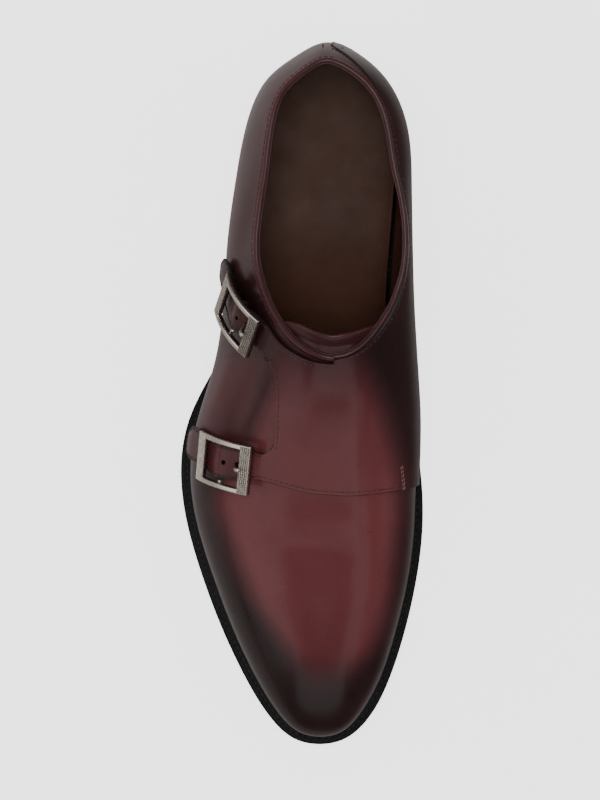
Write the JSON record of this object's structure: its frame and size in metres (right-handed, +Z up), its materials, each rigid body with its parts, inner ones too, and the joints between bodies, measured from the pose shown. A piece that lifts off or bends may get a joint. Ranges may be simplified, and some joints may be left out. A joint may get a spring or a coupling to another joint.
{
  "type": "monk strap shoe",
  "caption": "Right-foot double monk strap dress shoe: hollow leather upper with a buckled strap flap over the instep, leather sole, stacked heel.",
  "frame": {"origin": "on the floor, under the middle of the shoe's box as seen from above", "axes": "+Z up, -Y from heel to toe, +X towards the inner side of the foot"},
  "size_m": [0.1065, 0.3016, 0.0928],
  "materials": {
    "upper_leather": "high shine, burnished darker at toe, heel and edges",
    "sole_leather": "black waxed edge",
    "lift_rubber": "matt",
    "sock_leather": "smooth satin",
    "buckle_metal": "antique nickel"
  },
  "bodies": {
    "root": {"outsole": "sole_leather", "welt": "sole_leather", "heel_stack": "sole_leather", "top_lift": "lift_rubber", "insole": "sock_leather", "upper": "upper_leather", "tongue": "upper_leather", "strap_flap": "upper_leather", "tab_lower": "upper_leather", "tab_upper": "upper_leather", "buckle_lower": "buckle_metal", "buckle_upper": "buckle_metal", "bar_lower": "buckle_metal", "bar_upper": "buckle_metal", "prong_lower": "buckle_metal", "prong_upper": "buckle_metal"}
  },
  "joints": []
}
